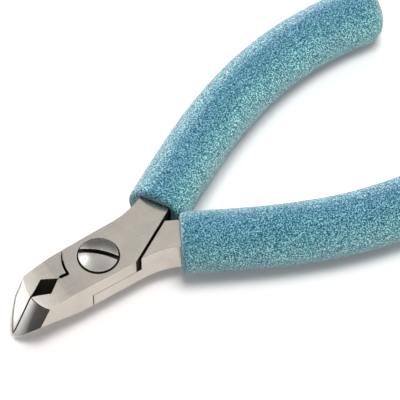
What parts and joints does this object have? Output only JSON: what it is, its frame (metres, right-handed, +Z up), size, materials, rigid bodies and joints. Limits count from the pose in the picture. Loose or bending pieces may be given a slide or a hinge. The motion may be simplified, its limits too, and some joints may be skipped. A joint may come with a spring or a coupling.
{
  "type": "flush cutter",
  "caption": "Angled-tip flush cutter with a lap joint, a slotted pivot screw, a diamond relief behind the cutting edges and bowed handles in foam grips.",
  "frame": {"origin": "on the pivot axis, at the screw's end face, level with the joint's flat underside", "axes": "+X to the cutting tip, +Y to the side of the upper lever's jaw, +Z up along the pivot screw"},
  "size_m": [0.1164, 0.0654, 0.0148],
  "materials": {
    "satin_steel": "satin ground tool steel with crisp edges",
    "bright_steel": "turned and polished screw head",
    "spring_steel": "plain spring wire",
    "turquoise_foam": "soft micro-cellular foam sleeve with a pebbled skin"
  },
  "bodies": {
    "lower": {"lower_lever": "satin_steel", "pivot_screw": "bright_steel", "return_spring": "spring_steel", "lower_lever_grip": "turquoise_foam"},
    "upper": {"upper_lever": "satin_steel", "upper_lever_grip": "turquoise_foam"}
  },
  "joints": [
    {"name": "jaw_opening", "type": "hinge", "parent": "lower", "child": "upper", "pos_m": [0, 0, 0.00375], "axis": [0, 0, 1], "range_deg": [0, 16], "stiffness_Nm_per_rad": 0.02, "springref_deg": 16.04}
  ]
}
